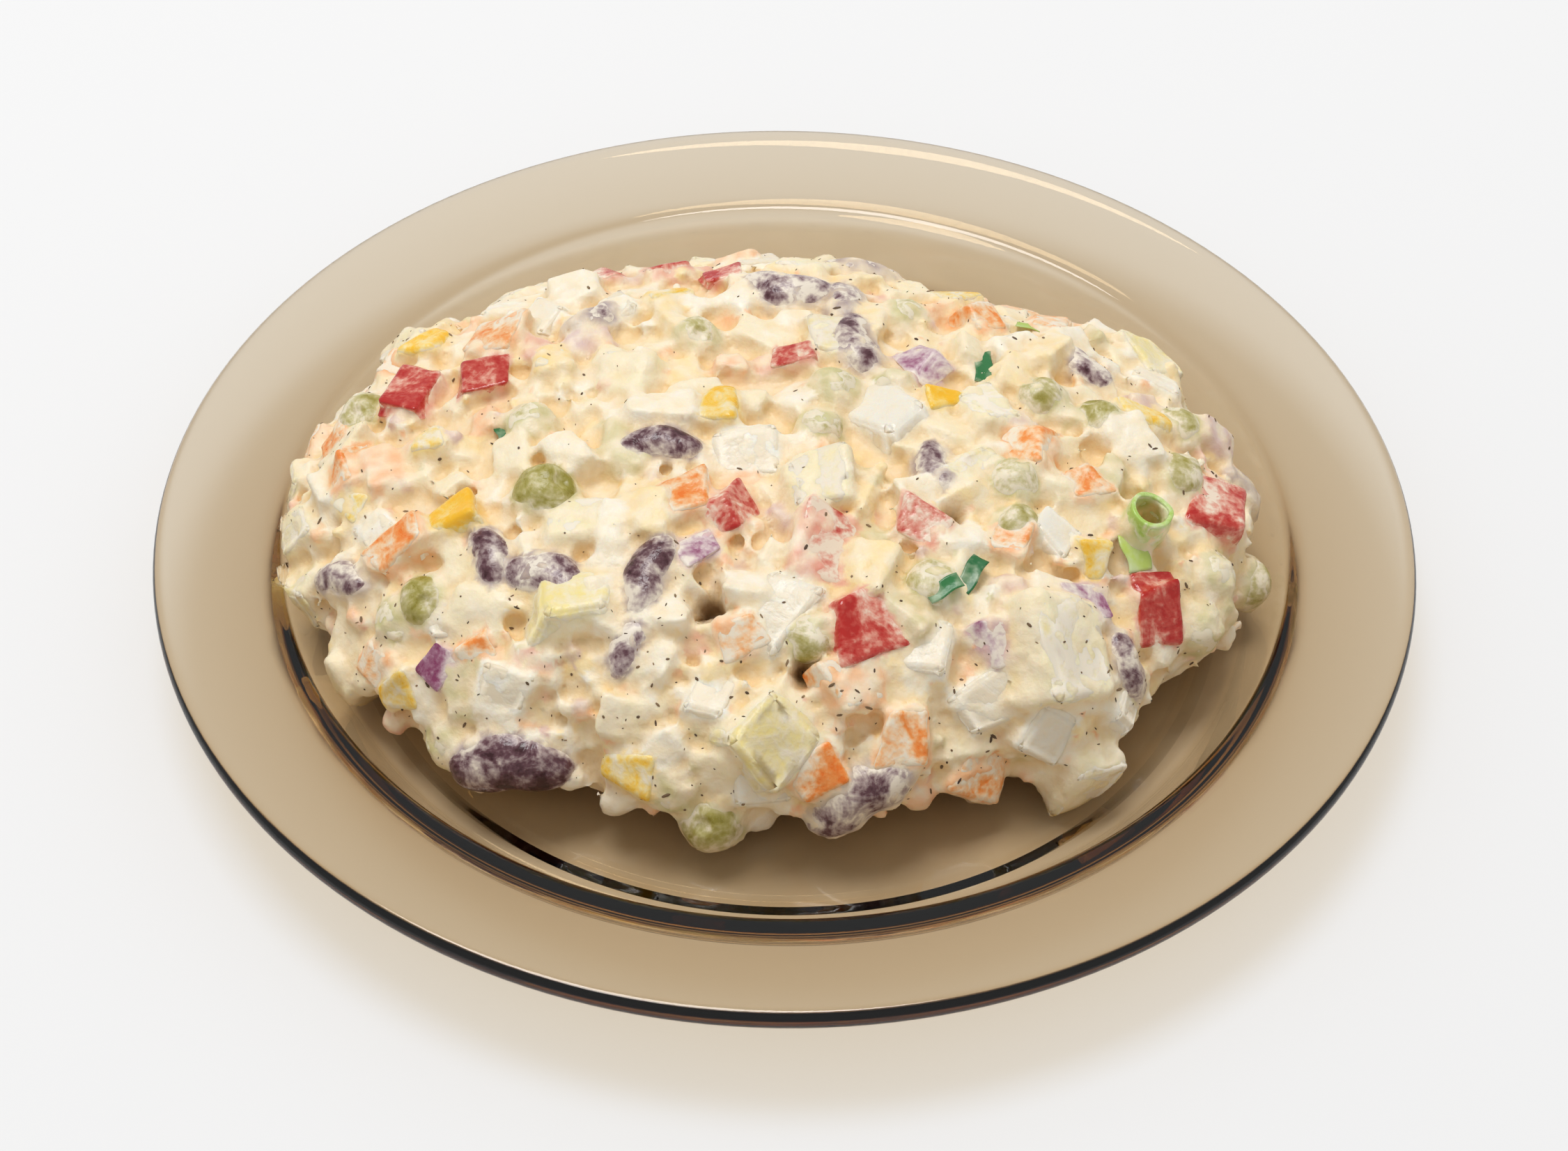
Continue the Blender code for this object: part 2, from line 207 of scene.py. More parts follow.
# %% What lies where
PIECES = {
    "bean": (
        (-1, 32, 17, -15, 0.64), (10, 18, 15, -45, 0.62), (-19, -6, 13, 60, 0.8),
        (-20, -31, 15, 85, 0.7), (-43, -25, 12, -15, 0.74), (-34, -30, 16, 5, 0.68),
        (-66, -20, 12, 40, 0.65), (-39, -49, 19, 8, 0.85), (11, -55, 18, 35, 0.68),
        (50, -35, 12, 80, 0.66), (46, 18, 11, 20, 0.6), (22, -10, 12, 70, 0.6),
        (-30, 25, 12, 20, 0.35), (-22, -40, 12, 80, 0.6)),
    "pea": (
        (-66, 12, 9.2, 0, 0.62), (-36, -15, 10.3, 20, 0.88), (-53, -29, 9, 0, 0.7),
        (-57, -30, 8, 0, 0.45), (-39, 0, 8, 0, 0.35), (-10, -57, 10, 90, 0.7),
        (-16, -55, 8.5, 0, 0.3), (7, 7, 9, 0, 0.35), (5, -1, 7.5, 0, 0.5),
        (18, 28, 8, 0, 0.4), (39, 8, 8.6, 0, 0.64), (48, 5, 8.6, 0, 0.72),
        (34, -11, 8.6, 0, 0.66), (34, -19, 7.6, 0, 0.72), (61, 11, 8.6, 0, 0.64),
        (60, -2, 8.8, 0, 0.64), (62, -24, 9.2, 0, 0.4), (65, -16, 8.8, 0, 0.35),
        (4, -40, 8, 0, 0.5), (16, 9, 6.5, 0, 0.35)),
    "corn": (
        (-57, 26, 8.5, 10, 0.85), (-49, -18, 9, 70, 0.95), (-66, -8, 6.5, 30, 0.6),
        (-10, 2, 9.5, 10, 0.7), (24, 5, 6, 80, 0.9), (55, 7, 9, 90, 0.75),
        (45, -22, 6.5, 60, 0.8), (-22, -53, 8.8, 0, 0.75), (-56, -38, 7.5, 40, 0.75),
        (-54, -1, 6.5, 0, 0.55)),
    "potato": (
        (-31, -35, 11.5, 20, 0.85), (-3, -52, 13, 35, 0.85), (28, -11, 9.5, 10, 0.5),
        (30, 4, 8.5, 15, 0.5), (39, -38, 15, 60, 0.45), (45, -47, 10, 80, 0.5),
        (8, 19, 9, 30, 0.5), (-30, -21, 9, 50, 0.35), (57, 31, 9.5, 20, 0.8),
        (-75, -6, 8, 70, 0.6)),
    "egg": (
        (-38, 28, 8, 30, 0.6), (-28, 27, 8, 0, 0.6), (15, 1, 12.5, 25, 0.8),
        (-6, -6, 9, 40, 0.6), (0, -36, 12, 55, 0.75), (40, -19, 7.5, 20, 0.85),
        (-49, -33, 7.5, 40, 0.8), (21, -40, 9, 60, 0.65), (-10, -48, 7, 70, 0.6),
        (-41, -43, 9, 10, 0.5), (30, -44, 10, 30, 0.6), (50, -38, 8.5, 20, 0.7),
        (38, -46, 9, 60, 0.7), (-61, -15, 7.5, 20, 0.5), (58, 24, 8, 40, 0.6),
        (-3, -55, 8, 0, 0.6)),
    "carrot": (
        (-62, 24, 7, 10, 0.7), (-45, 22, 9, 15, 0.68), (-74, 15, 8, 60, 0.6),
        (-69, 8, 8, 20, 0.68), (-66, -3, 7.5, 0, 0.7), (-56, -20, 8.5, 80, 0.75),
        (-15, -17, 8, 40, 0.8), (-6, -40, 6.5, 20, 0.55), (37, -4, 9.5, 5, 0.72),
        (45, -10, 6.5, 45, 0.68), (5, -54, 8, 30, 0.85), (18, -50, 8, 70, 0.72),
        (9, -46, 9, 10, 0.4), (-44, -38, 6, 50, 0.65), (33, -22, 6.5, 10, 0.65),
        (-59, -34, 7.5, 10, 0.55)),
    "pepper": (
        (-58, 11, 10, -5, 0.9), (-47, 12, 8.5, 25, 0.9), (-31, 41, 8, 5, 0.75),
        (-11, 38, 6, 0, 0.8), (1, 15, 7, 10, 0.7), (-8, -19, 8, 60, 0.75),
        (5, -25, 11, 65, 0.5), (20, -21, 7, -50, 0.65), (12, -38, 11, 5, 0.85),
        (55, -25, 9.5, 70, 0.9), (66, -5, 11.5, 10, 0.75)),
    "onion": (
        (31, -38, 7.5, 15, 0.55), (-50, -38, 6, 70, 0.9), (21, 14, 7, -20, 0.7),
        (-13, -27, 6, 60, 0.7), (44, -29, 7, -35, 0.7)),
    "ring": (
        (53, -15, 7.4, 0, 1.0),),
}

# Shares of a piece's length: across, thick, and how deep it is sunk
FORM = {
    "bean": (0.52, 0.46, 0.58),
    "pea": (0.94, 0.92, 0.62),
    "corn": (0.82, 0.66, 0.60),
    "potato": (0.86, 0.72, 0.68),
    "egg": (0.78, 0.55, 0.66),
    "carrot": (0.86, 0.76, 0.68),
    "pepper": (0.84, 0.55, 0.62),
    "onion": (0.84, 0.42, 0.55),
    "ring": (0.92, 0.9, 0.38),
}
GAP = 0.35

# Pieces laid by rule where the list leaves the heap bare, mostly its back and foot
FILL_TRIES = 900
FILL_COUNT = 60
FILL_SPACING = 9.5
FILL_ORDER = ("potato pea egg carrot potato corn bean egg pepper pea potato "
              "carrot").split()
FILL_LENGTH = {"potato": 9.5, "pea": 8.8, "egg": 8.5, "carrot": 7.5,
               "corn": 8.2, "bean": 15.0, "pepper": 8.5}
GOLDEN_ANGLE = math.radians(137.508)
print("pieces that show:", {kind: len(rows) for kind, rows in PIECES.items()})


# %% [markdown]
# ## Spreading by rule
# The back of the heap and its steep foot are filled like a sunflower head: each next
# piece turns by the golden angle and drops to a level picked evenly by area, and it is
# kept only where it is clear of its neighbours.

# %% Spreading by rule
def spread(taken, tries, count, spacing, stride=7):
    """(angle, level) places on the skin, each at least spacing from all others."""
    levels = [math.sin(math.pi / 2 * i / 60) for i in range(61)]
    slope = [skin(math.pi / 2, v) for v in reversed(levels)]
    area = [0.0]
    for a, b in zip(slope, slope[1:]):
        area.append(area[-1] + (b - a).length * (a.y + b.y))
    out = []
    for k in range(tries):
        angle = k * GOLDEN_ANGLE
        wanted = area[-1] * (k * stride % tries + 0.5) / tries
        ring = next(i for i, v in enumerate(area) if v >= wanted)
        level = levels[len(levels) - 1 - ring]
        point = skin(angle, level)
        if all((point - other).length > spacing for other in taken):
            out.append((angle, level))
            taken.append(point)
        if len(out) == count:
            break
    return out


def seat(kind, angle, level, length, turn, rng):
    """The placing of one piece on the skin: rotation, size and centre."""
    across, thick, sunk = FORM[kind]
    normal = skin_normal(angle, level)
    centre = skin(angle, level) + normal * length * thick * (0.5 - sunk)
    low = glass_z(math.hypot(centre.x, centre.y)) + GAP + length * thick * 0.42
    centre.z = max(centre.z, low)
    lean = Matrix.Rotation(math.radians(rng.uniform(-16, 16)), 4, "X")
    spin = Matrix.Rotation(math.radians(turn), 4, "Z")
    size = Matrix.Diagonal((length, length * across, length * thick, 1.0))
    return Matrix.Translation(centre) @ face_along(normal) @ spin @ lean @ size


placed = []
taken = []
rng = random.Random(7)
for kind, rows in PIECES.items():
    for x, y, length, turn, bare in rows:
        angle, level = spot_over(x, y)
        placed.append((kind, seat(kind, angle, level, length, turn, rng), bare))
        taken.append(skin(angle, level))
for index, (angle, level) in enumerate(spread(taken, FILL_TRIES, FILL_COUNT, FILL_SPACING)):
    kind = FILL_ORDER[index % len(FILL_ORDER)]
    length = FILL_LENGTH[kind] * rng.uniform(0.85, 1.12)
    matrix = seat(kind, angle, level, length, rng.uniform(0, 180), rng)
    bare = 0.25 + 0.5 * ((index * 5) % 9) / 9
    placed.append((kind, matrix, bare))
print("pieces in all:", len(placed))


# %% [markdown]
# ## Small helpers
# Blender's operators act on whatever is selected and active. These helpers keep that
# tidy. Others add an object, read a mesh's points, normals and faces, and put numbers
# or colours on a mesh as attributes that a material can read.

# %% Small helpers
def alone(obj):
    """Make one object the only selected and the active one."""
    for other in bpy.context.selected_objects:
        other.select_set(False)
    obj.select_set(True)
    bpy.context.view_layer.objects.active = obj


def apply(obj, kind, **settings):
    """Add one modifier to an object and apply it."""
    alone(obj)
    modifier = obj.modifiers.new(kind.lower(), kind)
    for key, value in settings.items():
        setattr(modifier, key, value)
    bpy.ops.object.modifier_apply(modifier=modifier.name)


def add(name, data):
    """A new object in the scene."""
    obj = bpy.data.objects.new(name, data)
    bpy.context.scene.collection.objects.link(obj)
    return obj


def rows_of(items, name):
    """One value of every mesh item as an array, three numbers a row."""
    flat = np.empty(len(items) * 3, dtype=np.float32)
    items.foreach_get(name, flat)
    return flat.reshape(-1, 3).astype(np.float64)


def points_of(mesh):
    """The mesh's vertices as an array, one row each."""
    return rows_of(mesh.vertices, "co")


def normals_of(mesh):
    """The vertex normals as an array, one row each."""
    return rows_of(mesh.vertex_normals, "vector")


def faces_in(mesh):
    """The mesh's faces as tuples of point numbers."""
    return [tuple(face.vertices) for face in mesh.polygons]


def take_mesh(obj):
    """An object's points and faces; the object itself goes."""
    points, faces = points_of(obj.data), faces_in(obj.data)
    bpy.data.objects.remove(obj)
    return points, faces


def put_number(mesh, name, values):
    """Store one number a vertex under a name."""
    layer = mesh.attributes.new(name, "FLOAT", "POINT")
    layer.data.foreach_set("value", np.asarray(values, dtype=np.float32))


def put_colour(mesh, name, rgb):
    """Store one colour a vertex under a name."""
    layer = mesh.attributes.new(name, "FLOAT_COLOR", "POINT")
    rgba = np.ones((len(rgb), 4), dtype=np.float32)
    rgba[:, :3] = rgb
    layer.data.foreach_set("color", rgba.ravel())


def waves(points, size, seed):
    """Smooth noise between about -1 and 1 at each point, for lumps of one size."""
    shift = Vector((seed * 3.1, seed * 1.7, seed * 2.3))
    return np.array([noise.noise(Vector(p) / size + shift) for p in points])


def lin(red, green, blue):
    """A screen colour, 0 to 255, as the linear colour that shaders use."""
    out = []
    for value in (red, green, blue):
        value /= 255
        out.append(value / 12.92 if value <= 0.04045 else ((value + 0.055) / 1.055) ** 2.4)
    return tuple(out)


# %% [markdown]
# ## One master of each kind
# Each kind is modelled once, one unit long, with a modeller's hand tools: a primitive,
# a few edit operators, a bend or a subdivision.

# %% Hand tools
def start_edit(obj):
    """Enter edit mode on one object with everything selected."""
    alone(obj)
    bpy.ops.object.mode_set(mode="EDIT")
    bpy.ops.mesh.select_all(action="SELECT")
    return obj


def pick_points(obj, test):
    """In edit mode, select only the points whose place passes a test."""
    bpy.ops.mesh.select_all(action="DESELECT")
    bm = bmesh.from_edit_mesh(obj.data)
    for v in bm.verts:
        v.select = test(v.co)
    bm.select_flush_mode()
    bmesh.update_edit_mesh(obj.data)


def pull(obj, test, shift, size):
    """Move the points that pass a test and, less and less, those within a size of them."""
    pick_points(obj, test)
    bpy.ops.transform.translate(value=shift, use_proportional_edit=True,
                                proportional_edit_falloff="SMOOTH", proportional_size=size)


def unit_size(obj):
    """Scale a finished master to one unit each way, centred on its origin."""
    bpy.ops.object.mode_set(mode="OBJECT")
    bpy.ops.object.origin_set(type="ORIGIN_GEOMETRY", center="BOUNDS")
    obj.location = (0, 0, 0)
    obj.dimensions = (1, 1, 1)
    bpy.ops.object.transform_apply(location=True, rotation=True, scale=True)
    return obj


# %% Masters: diced pieces
def diced_master(worn, cuts=8, bend=0):
    """A cut cube with worn edges; egg, pepper and onion also have a curve in it."""
    bpy.ops.mesh.primitive_cube_add(size=1.0)
    obj = start_edit(bpy.context.object)
    bpy.ops.mesh.subdivide(number_cuts=cuts)
    bpy.ops.object.mode_set(mode="OBJECT")
    apply(obj, "BEVEL", width=worn, segments=3, limit_method="ANGLE")
    if bend:
        apply(obj, "SIMPLE_DEFORM", deform_method="BEND", deform_axis="Y",
              angle=math.radians(bend))
    return unit_size(obj)


# %% Masters: peas, beans and corn
def pea_master():
    """A cooked pea: a ball with a dimple where it hung and a faint flat side."""
    bpy.ops.mesh.primitive_ico_sphere_add(subdivisions=5, radius=0.5)
    obj = start_edit(bpy.context.object)
    dimple, flat_side = Vector((0.28, 0.1, 0.4)), Vector((-0.4, -0.2, 0.2))
    pull(obj, lambda co: (co - dimple).length < 0.06, (-0.04, -0.01, -0.06), 0.16)
    pull(obj, lambda co: (co - flat_side).length < 0.08, (0.03, 0.015, -0.015), 0.3)
    return unit_size(obj)


def bean_master():
    """A kidney bean: a long egg bent sideways, with a hollow at its eye."""
    bpy.ops.mesh.primitive_uv_sphere_add(segments=48, ring_count=28, radius=0.5,
                                         rotation=(0, math.pi / 2, 0))
    bpy.ops.object.transform_apply(rotation=True)
    obj = start_edit(bpy.context.object)
    bpy.ops.transform.resize(value=(1, 0.42, 0.46))
    pull(obj, lambda co: co.x > 0.44, (0.0, -0.055, 0), 0.5)
    pull(obj, lambda co: co.x < -0.44, (0.0, -0.045, 0), 0.5)
    pull(obj, lambda co: abs(co.x) < 0.05 and co.y < -0.15, (0, 0.025, 0), 0.2)
    return unit_size(obj)


def corn_master():
    """A corn kernel: broad, squarish crown with a dent, drawn in to a tip."""
    bpy.ops.mesh.primitive_cube_add(size=1.0)
    obj = start_edit(bpy.context.object)
    pick_points(obj, lambda co: co.x < -0.4)
    bpy.ops.transform.resize(value=(1, 0.5, 0.55))
    bpy.ops.mesh.select_all(action="SELECT")
    bpy.ops.mesh.bevel(offset=0.16, segments=2, affect="EDGES")
    bpy.ops.mesh.subdivide(number_cuts=1)
    pull(obj, lambda co: co.x > 0.45 and abs(co.y) < 0.25 and abs(co.z) < 0.25,
         (-0.16, 0, 0), 0.3)
    pull(obj, lambda co: co.z > 0.3 and abs(co.y) < 0.1 and co.x > -0.1, (0, 0, -0.07), 0.25)
    bpy.ops.object.mode_set(mode="OBJECT")
    apply(obj, "SUBSURF", levels=2, render_levels=2)
    return unit_size(obj)


def ball_master():
    """A rounded crumb, with few faces because there are so many of them."""
    bpy.ops.mesh.primitive_ico_sphere_add(subdivisions=2, radius=0.5)
    return bpy.context.object


# %% Masters: spring onion
def ring_master():
    """A cut length of spring onion: a short thick-walled tube, dented at one side of its end."""
    bpy.ops.mesh.primitive_circle_add(vertices=48, radius=0.5)
    obj = start_edit(bpy.context.object)
    for _ in range(8):
        bpy.ops.mesh.extrude_region_move(TRANSFORM_OT_translate={"value": (0, 0, 1 / 8)})
    pull(obj, lambda co: co.x > 0.45 and co.z > 0.9, (-0.05, 0.02, -0.06), 0.5)
    bpy.ops.mesh.select_all(action="SELECT")
    bpy.ops.mesh.normals_make_consistent(inside=False)
    bpy.ops.object.mode_set(mode="OBJECT")
    apply(obj, "SOLIDIFY", thickness=0.11, offset=-1)
    apply(obj, "BEVEL", width=0.03, segments=2, limit_method="ANGLE")
    return unit_size(obj)


MASTERS = {
    "bean": bean_master(),
    "pea": pea_master(),
    "corn": corn_master(),
    "potato": diced_master(0.13),
    "egg": diced_master(0.12, bend=35),
    "carrot": diced_master(0.1),
    "pepper": diced_master(0.1, bend=40),
    "onion": diced_master(0.08, bend=40),
    "ring": ring_master(),
    "lump": diced_master(0.12, cuts=4),
    "ball": ball_master(),
}
print("masters:", {kind: len(obj.data.polygons) for kind, obj in MASTERS.items()})

# %% [markdown]
# ## Copying a master
# A copy's eight corners are pushed by up to a fifth of its length, which turns a neat
# box into a knife cut, and low waves make its faces uneven. Then the placing matrix
# takes it to its seat.

# %% Copying a master
CORNERS = np.array([(x, y, z) for x in (-1, 1) for y in (-1, 1) for z in (-1, 1)], dtype=float)
# How far a corner is pushed and how high the waves are, in shares of the length
UNEVEN = {"bean": (0.05, 0.015), "pea": (0.04, 0.02), "corn": (0.09, 0.015),
          "potato": (0.15, 0.04), "egg": (0.2, 0.02), "carrot": (0.18, 0.025),
          "pepper": (0.2, 0.015), "onion": (0.17, 0.015), "ring": (0.04, 0.01),
          "lump": (0.17, 0.06), "ball": (0.1, 0.05)}

master_points, faces_of = {}, {}
for kind, master in MASTERS.items():
    master_points[kind], faces_of[kind] = take_mesh(master)


def warped(kind, serial):
    """The master's points, one unit long, warped for one copy."""
    points, (push_size, wave) = master_points[kind].copy(), UNEVEN[kind]
    own = np.random.default_rng(serial)
    push = own.uniform(-1, 1, (8, 3)) * push_size
    shares = [np.clip(0.5 + corner * points, 0, 1).prod(axis=1) for corner in CORNERS]
    for share, shift in zip(shares, push):
        points += share[:, None] * shift
    lumps = waves(points, 0.33, serial)
    length = np.maximum(np.linalg.norm(points, axis=1), 0.001)
    return points * (1 + 2 * wave * lumps / length)[:, None]


def moved(points, matrix):
    """Points taken by a 4 by 4 matrix."""
    m = np.array(matrix)
    return points @ m[:3, :3].T + m[:3, 3]


def stacked(parts):
    """The points and faces of many (points, faces, numbers) parts, as one mesh's."""
    faces, start = [], 0
    for points, own_faces, _ in parts:
        faces.extend(tuple(i + start for i in face) for face in own_faces)
        start += len(points)
    return np.vstack([points for points, _, _ in parts]), faces


def joined(name, parts):
    """One mesh object from many (points in mm, faces, {number name: value}) parts."""
    points, faces = stacked(parts)
    mesh = bpy.data.meshes.new(name)
    mesh.from_pydata((points * MM).tolist(), [], faces)
    for key in parts[0][2]:
        put_number(mesh, key, np.concatenate([np.full(len(own), numbers[key])
                                              for own, _, numbers in parts]))
    return add(name, mesh)


def unit_normals(points, faces):
    """Outward directions of a closed mesh's points."""
    mesh = bpy.data.meshes.new("measure")
    mesh.from_pydata(points.tolist(), [], faces)
    out = normals_of(mesh)
    bpy.data.meshes.remove(mesh)
    return out


# %% [markdown]
# ## The coat on each piece
# A piece in thick dressing shows as a window: its flanks are buried, the sauce climbs
# them, and only its crown is wiped clean, with a ragged rim. So each piece gets a coat,
# a swollen copy of itself: always thick on the flanks, and on the crown thick or sunken
# by how bare the piece is. Where the coat dips under the piece, the piece shows.

# %% The coat on each piece
FLANK_COAT = 0.55
FLANK_WIPED = 1.3
CROWN_COAT = 0.55
CROWN_WIPED = 1.15
RAGGED = 0.6
PROUD_FROM = 0.55
PROUD = {"egg": 0.4, "potato": 0.5, "pepper": 1.0}
PROUD_OTHERS = 1.3
TILT = {"potato": 22, "egg": 24, "carrot": 26, "pepper": 26, "onion": 24, "corn": 18}


def coat(points, faces, crown, bare, serial):
    """A piece's points swollen by the dressing on it."""
    out = unit_normals(points, faces)
    facing = np.clip((out @ np.array(crown) - 0.1) / 0.55, 0, 1)
    facing = facing * facing * (3 - 2 * facing)
    flank = FLANK_COAT - FLANK_WIPED * max(0.0, bare - 0.6)
    thick = flank * (1 - facing) + (CROWN_COAT - CROWN_WIPED * bare) * facing
    patch = RAGGED * (waves(points, 2.8, serial + 40) + 0.5 * waves(points, 1.1, serial + 80))
    return points + out * (thick + patch)[:, None]


pieces_by_kind = {kind: [] for kind in FORM}
shells = []
for serial, (kind, matrix, bare) in enumerate(placed):
    tilt = math.radians(TILT.get(kind, 0)) * math.sin(serial * 2.4)
    about = Matrix.Rotation(tilt, 3, (math.cos(serial * 1.7), math.sin(serial * 1.7), 0))
    points = moved(warped(kind, serial) @ np.array(about).T, matrix)
    crown = (matrix.to_3x3() @ Vector((0, 0, 1))).normalized()
    share = max(0.0, bare - PROUD_FROM) / (1 - PROUD_FROM)
    points += np.array(crown) * PROUD.get(kind, PROUD_OTHERS) * share
    shade = (serial * 0.618) % 1.0
    pieces_by_kind[kind].append((points, faces_of[kind], {"bare": bare, "shade": shade}))
    shells.append((coat(points, faces_of[kind], crown, bare, serial), faces_of[kind], {}))

# %% [markdown]
# ## Chopped bits
# Between the named pieces lie hundreds of coated lumps and crumbs: potato ends, egg,
# broken yolk. The lumps follow the same spreading rule, closer, so that creases run
# between them, and the crumbs fall anywhere. Their colours tint the dressing over them.

# %% Chopped bits
BIT_COLOURS = {"yolk": lin(252, 220, 140), "white": lin(250, 249, 243),
               "potato": lin(245, 235, 200), "carrot": lin(249, 152, 70),
               "pepper": lin(222, 120, 108), "pea": lin(184, 182, 110),
               "onion": lin(190, 140, 165)}
LUMP_MENU = ("potato white yolk potato white carrot potato white pea yolk white potato "
             "onion yolk white potato pepper white").split()
CRUMB_MENU = ("white yolk carrot white yolk pepper white carrot yolk pea white yolk "
              "carrot onion white yolk").split()
LUMP_TRIES = 5000
LUMP_COUNT = 480
LUMP_SPACING = 5.0
ROUND_BELOW = 0.25
CRUMB_COUNT = 1500

# How strongly a bit's colour shows through the dressing that touches it
LUMP_SHOWS = 0.5
CRUMB_SHOWS = 0.55


def lumps_between(taken, rng):
    """Coated lumps spread over the gaps: rows of (part, colour, how it shows)."""
    rows = []
    places = spread(taken, LUMP_TRIES, LUMP_COUNT, LUMP_SPACING, stride=11)
    for index, (angle, level) in enumerate(places):
        size = rng.uniform(4.2, 9.0)
        normal = skin_normal(angle, level)
        tide = noise.noise(skin(angle, level) / 14.0)
        centre = skin(angle, level) + normal * (rng.uniform(-0.46, 0.0) + 0.14 * tide) * size
        turn = Matrix.Rotation(rng.uniform(0, math.tau), 4, "Z")
        tip = Matrix.Rotation(math.radians(rng.uniform(-32, 32)), 4, "X")
        form = Matrix.Diagonal((size, size * rng.uniform(0.55, 0.95),
                                size * rng.uniform(0.45, 0.75), 1))
        matrix = Matrix.Translation(centre) @ face_along(normal) @ turn @ tip @ form
        kind = "lump" if level > ROUND_BELOW else "ball"
        rows.append(((moved(warped(kind, 1000 + index), matrix), faces_of[kind], {}),
                     BIT_COLOURS[LUMP_MENU[index % len(LUMP_MENU)]], LUMP_SHOWS))
    return rows


def crumbs_over(rng):
    """Small crumbs anywhere on the skin, in the same rows as the lumps."""
    rows = []
    for index in range(CRUMB_COUNT):
        angle, level = rng.uniform(0, math.tau), rng.random() ** 0.75
        size = 0.7 + 1.8 * rng.random() ** 2
        normal = skin_normal(angle, level)
        centre = skin(angle, level) + normal * rng.uniform(-0.8, 0.9)
        turn = face_along(normal).to_3x3() @ Matrix.Rotation(rng.uniform(0, 6), 3, "Z")
        stretch = np.array([rng.uniform(0.8, 1.6), rng.uniform(0.7, 1.1), rng.uniform(0.6, 0.9)])
        points = (master_points["ball"] * stretch * size) @ np.array(turn).T + np.array(centre)
        rows.append(((points, faces_of["ball"], {}),
                     BIT_COLOURS[CRUMB_MENU[index * 5 % len(CRUMB_MENU)]], CRUMB_SHOWS))
    return rows


bit_rng = random.Random(21)
bits = lumps_between(taken, bit_rng) + crumbs_over(bit_rng)
print("lumps and crumbs:", len(bits))


# %% [markdown]
# ## The dressing
# Mayonnaise is thick: it keeps peaks, rounds off every hollow and pulls thin over a
# corner. The skin is grown from the mound, the coated copies of the pieces and the
# bits, fused by a voxel remesh. It is then swollen and shrunk back, which closes narrow
# creases the way a thick sauce does, and smoothed.

# %% The dressing
VOXEL = 0.5
BRIDGE = 0.6
CORE_SHRINK = 1.9
CREASE_FILL = 0.45
DRESSING_FACES = 190000


def mound():
    """The heap's core as a closed mesh: a ball drawn out to the skin."""
    bpy.ops.mesh.primitive_uv_sphere_add(segments=96, ring_count=48, radius=1)
    unit, faces = take_mesh(bpy.context.object)
    out = []
    for x, y, z in unit:
        angle, level = math.atan2(y, x), math.asin(max(-1.0, min(1.0, z)))
        across = max(0.0, math.cos(level))
        span = reach(angle) - CORE_SHRINK
        if level >= 0:
            r = span * across ** (2 / SHOULDER)
            high = FLOOR_Z + WAIST + (HEAP_HEIGHT - CORE_SHRINK - WAIST) * math.sin(level)
        else:
            r = span * across ** 0.3
            high = FLOOR_Z + WAIST + WAIST * math.sin(level)
        out.append((r * math.cos(angle), r * math.sin(angle), max(high, glass_z(r))))
    return np.array(out), faces, {}


dressing = joined("dressing", [mound()] + shells + [part for part, _, _ in bits])
for swell in (BRIDGE, -BRIDGE):
    apply(dressing, "REMESH", mode="VOXEL", voxel_size=VOXEL * MM)
    apply(dressing, "DISPLACE", strength=swell * MM, mid_level=0.0)
apply(dressing, "SMOOTH", factor=0.5, iterations=1)

# %% [markdown]
# ## Hollows and the underside
# A spoonful pulled away leaves small dark holes. Each one is the surface pushed in
# along a round falloff. Fine waves are the marks of the spoon. Underneath, the dressing
# lies flat on the glass and wets it, so its points are set a hair's breadth inside the
# wall: an air gap there would shine.

# %% Hollows and the underside
PITS = ((3.5, -44, 2.4, 6.5), (-11, -35, 2.1, 6.0), (24.5, -18, 1.9, 5.0), (8, -18, 1.3, 3.5),
        (-16, 52, 1.8, 5.0), (44, 38, 1.8, 4.5))
WET = 0.05
SETTLES_WITHIN = 0.55


def hollowness(mesh, rounds):
    """How far each point lies below its own smoothed surface, in millimetres."""
    points = points_of(mesh) / MM
    ends = np.empty(len(mesh.edges) * 2, dtype=np.int32)
    mesh.edges.foreach_get("vertices", ends)
    a, b = ends.reshape(-1, 2).T
    count = np.maximum(np.bincount(np.concatenate((a, b)), minlength=len(points)), 1)
    soft = points.copy()
    for _ in range(rounds):
        for axis in range(3):
            total = np.bincount(a, soft[b, axis], len(points))
            total += np.bincount(b, soft[a, axis], len(points))
            soft[:, axis] = 0.4 * soft[:, axis] + 0.6 * total / count
    return ((soft - points) * normals_of(mesh)).sum(axis=1)


def pits():
    """The mouth, the inward direction, the width and the depth of each hole."""
    for x, y, width, depth in PITS:
        angle, level = spot_over(x, y)
        yield np.array(skin(angle, level)), -np.array(skin_normal(angle, level)), width, depth


def press_hollows(points):
    """Points of the dressing with the holes pressed in."""
    for mouth, inward, width, depth in pits():
        away = np.linalg.norm(points - mouth, axis=1) * (1 + 0.5 * waves(points, 2.2, 17))
        points = points + inward * (depth * np.exp(-(away / width) ** 2))[:, None]
    return points


def pit_share(points):
    """How deep in a hole each point is, from 0 at its mouth to 1."""
    share = np.zeros(len(points))
    for mouth, inward, width, depth in pits():
        deep = np.clip((points - mouth) @ inward / depth, 0, 1)
        aside = np.linalg.norm(np.cross(points - mouth, inward), axis=1) / width
        share = np.maximum(share, deep * np.exp(-aside ** 2))
    return share


def rest_on_glass(points):
    """Points lifted to the glass, or set down on it where they nearly touch."""
    glass = glass_z(np.hypot(points[:, 0], points[:, 1])) - WET
    points[:, 2] = np.where(points[:, 2] < glass + SETTLES_WITHIN, glass, points[:, 2])
    return points


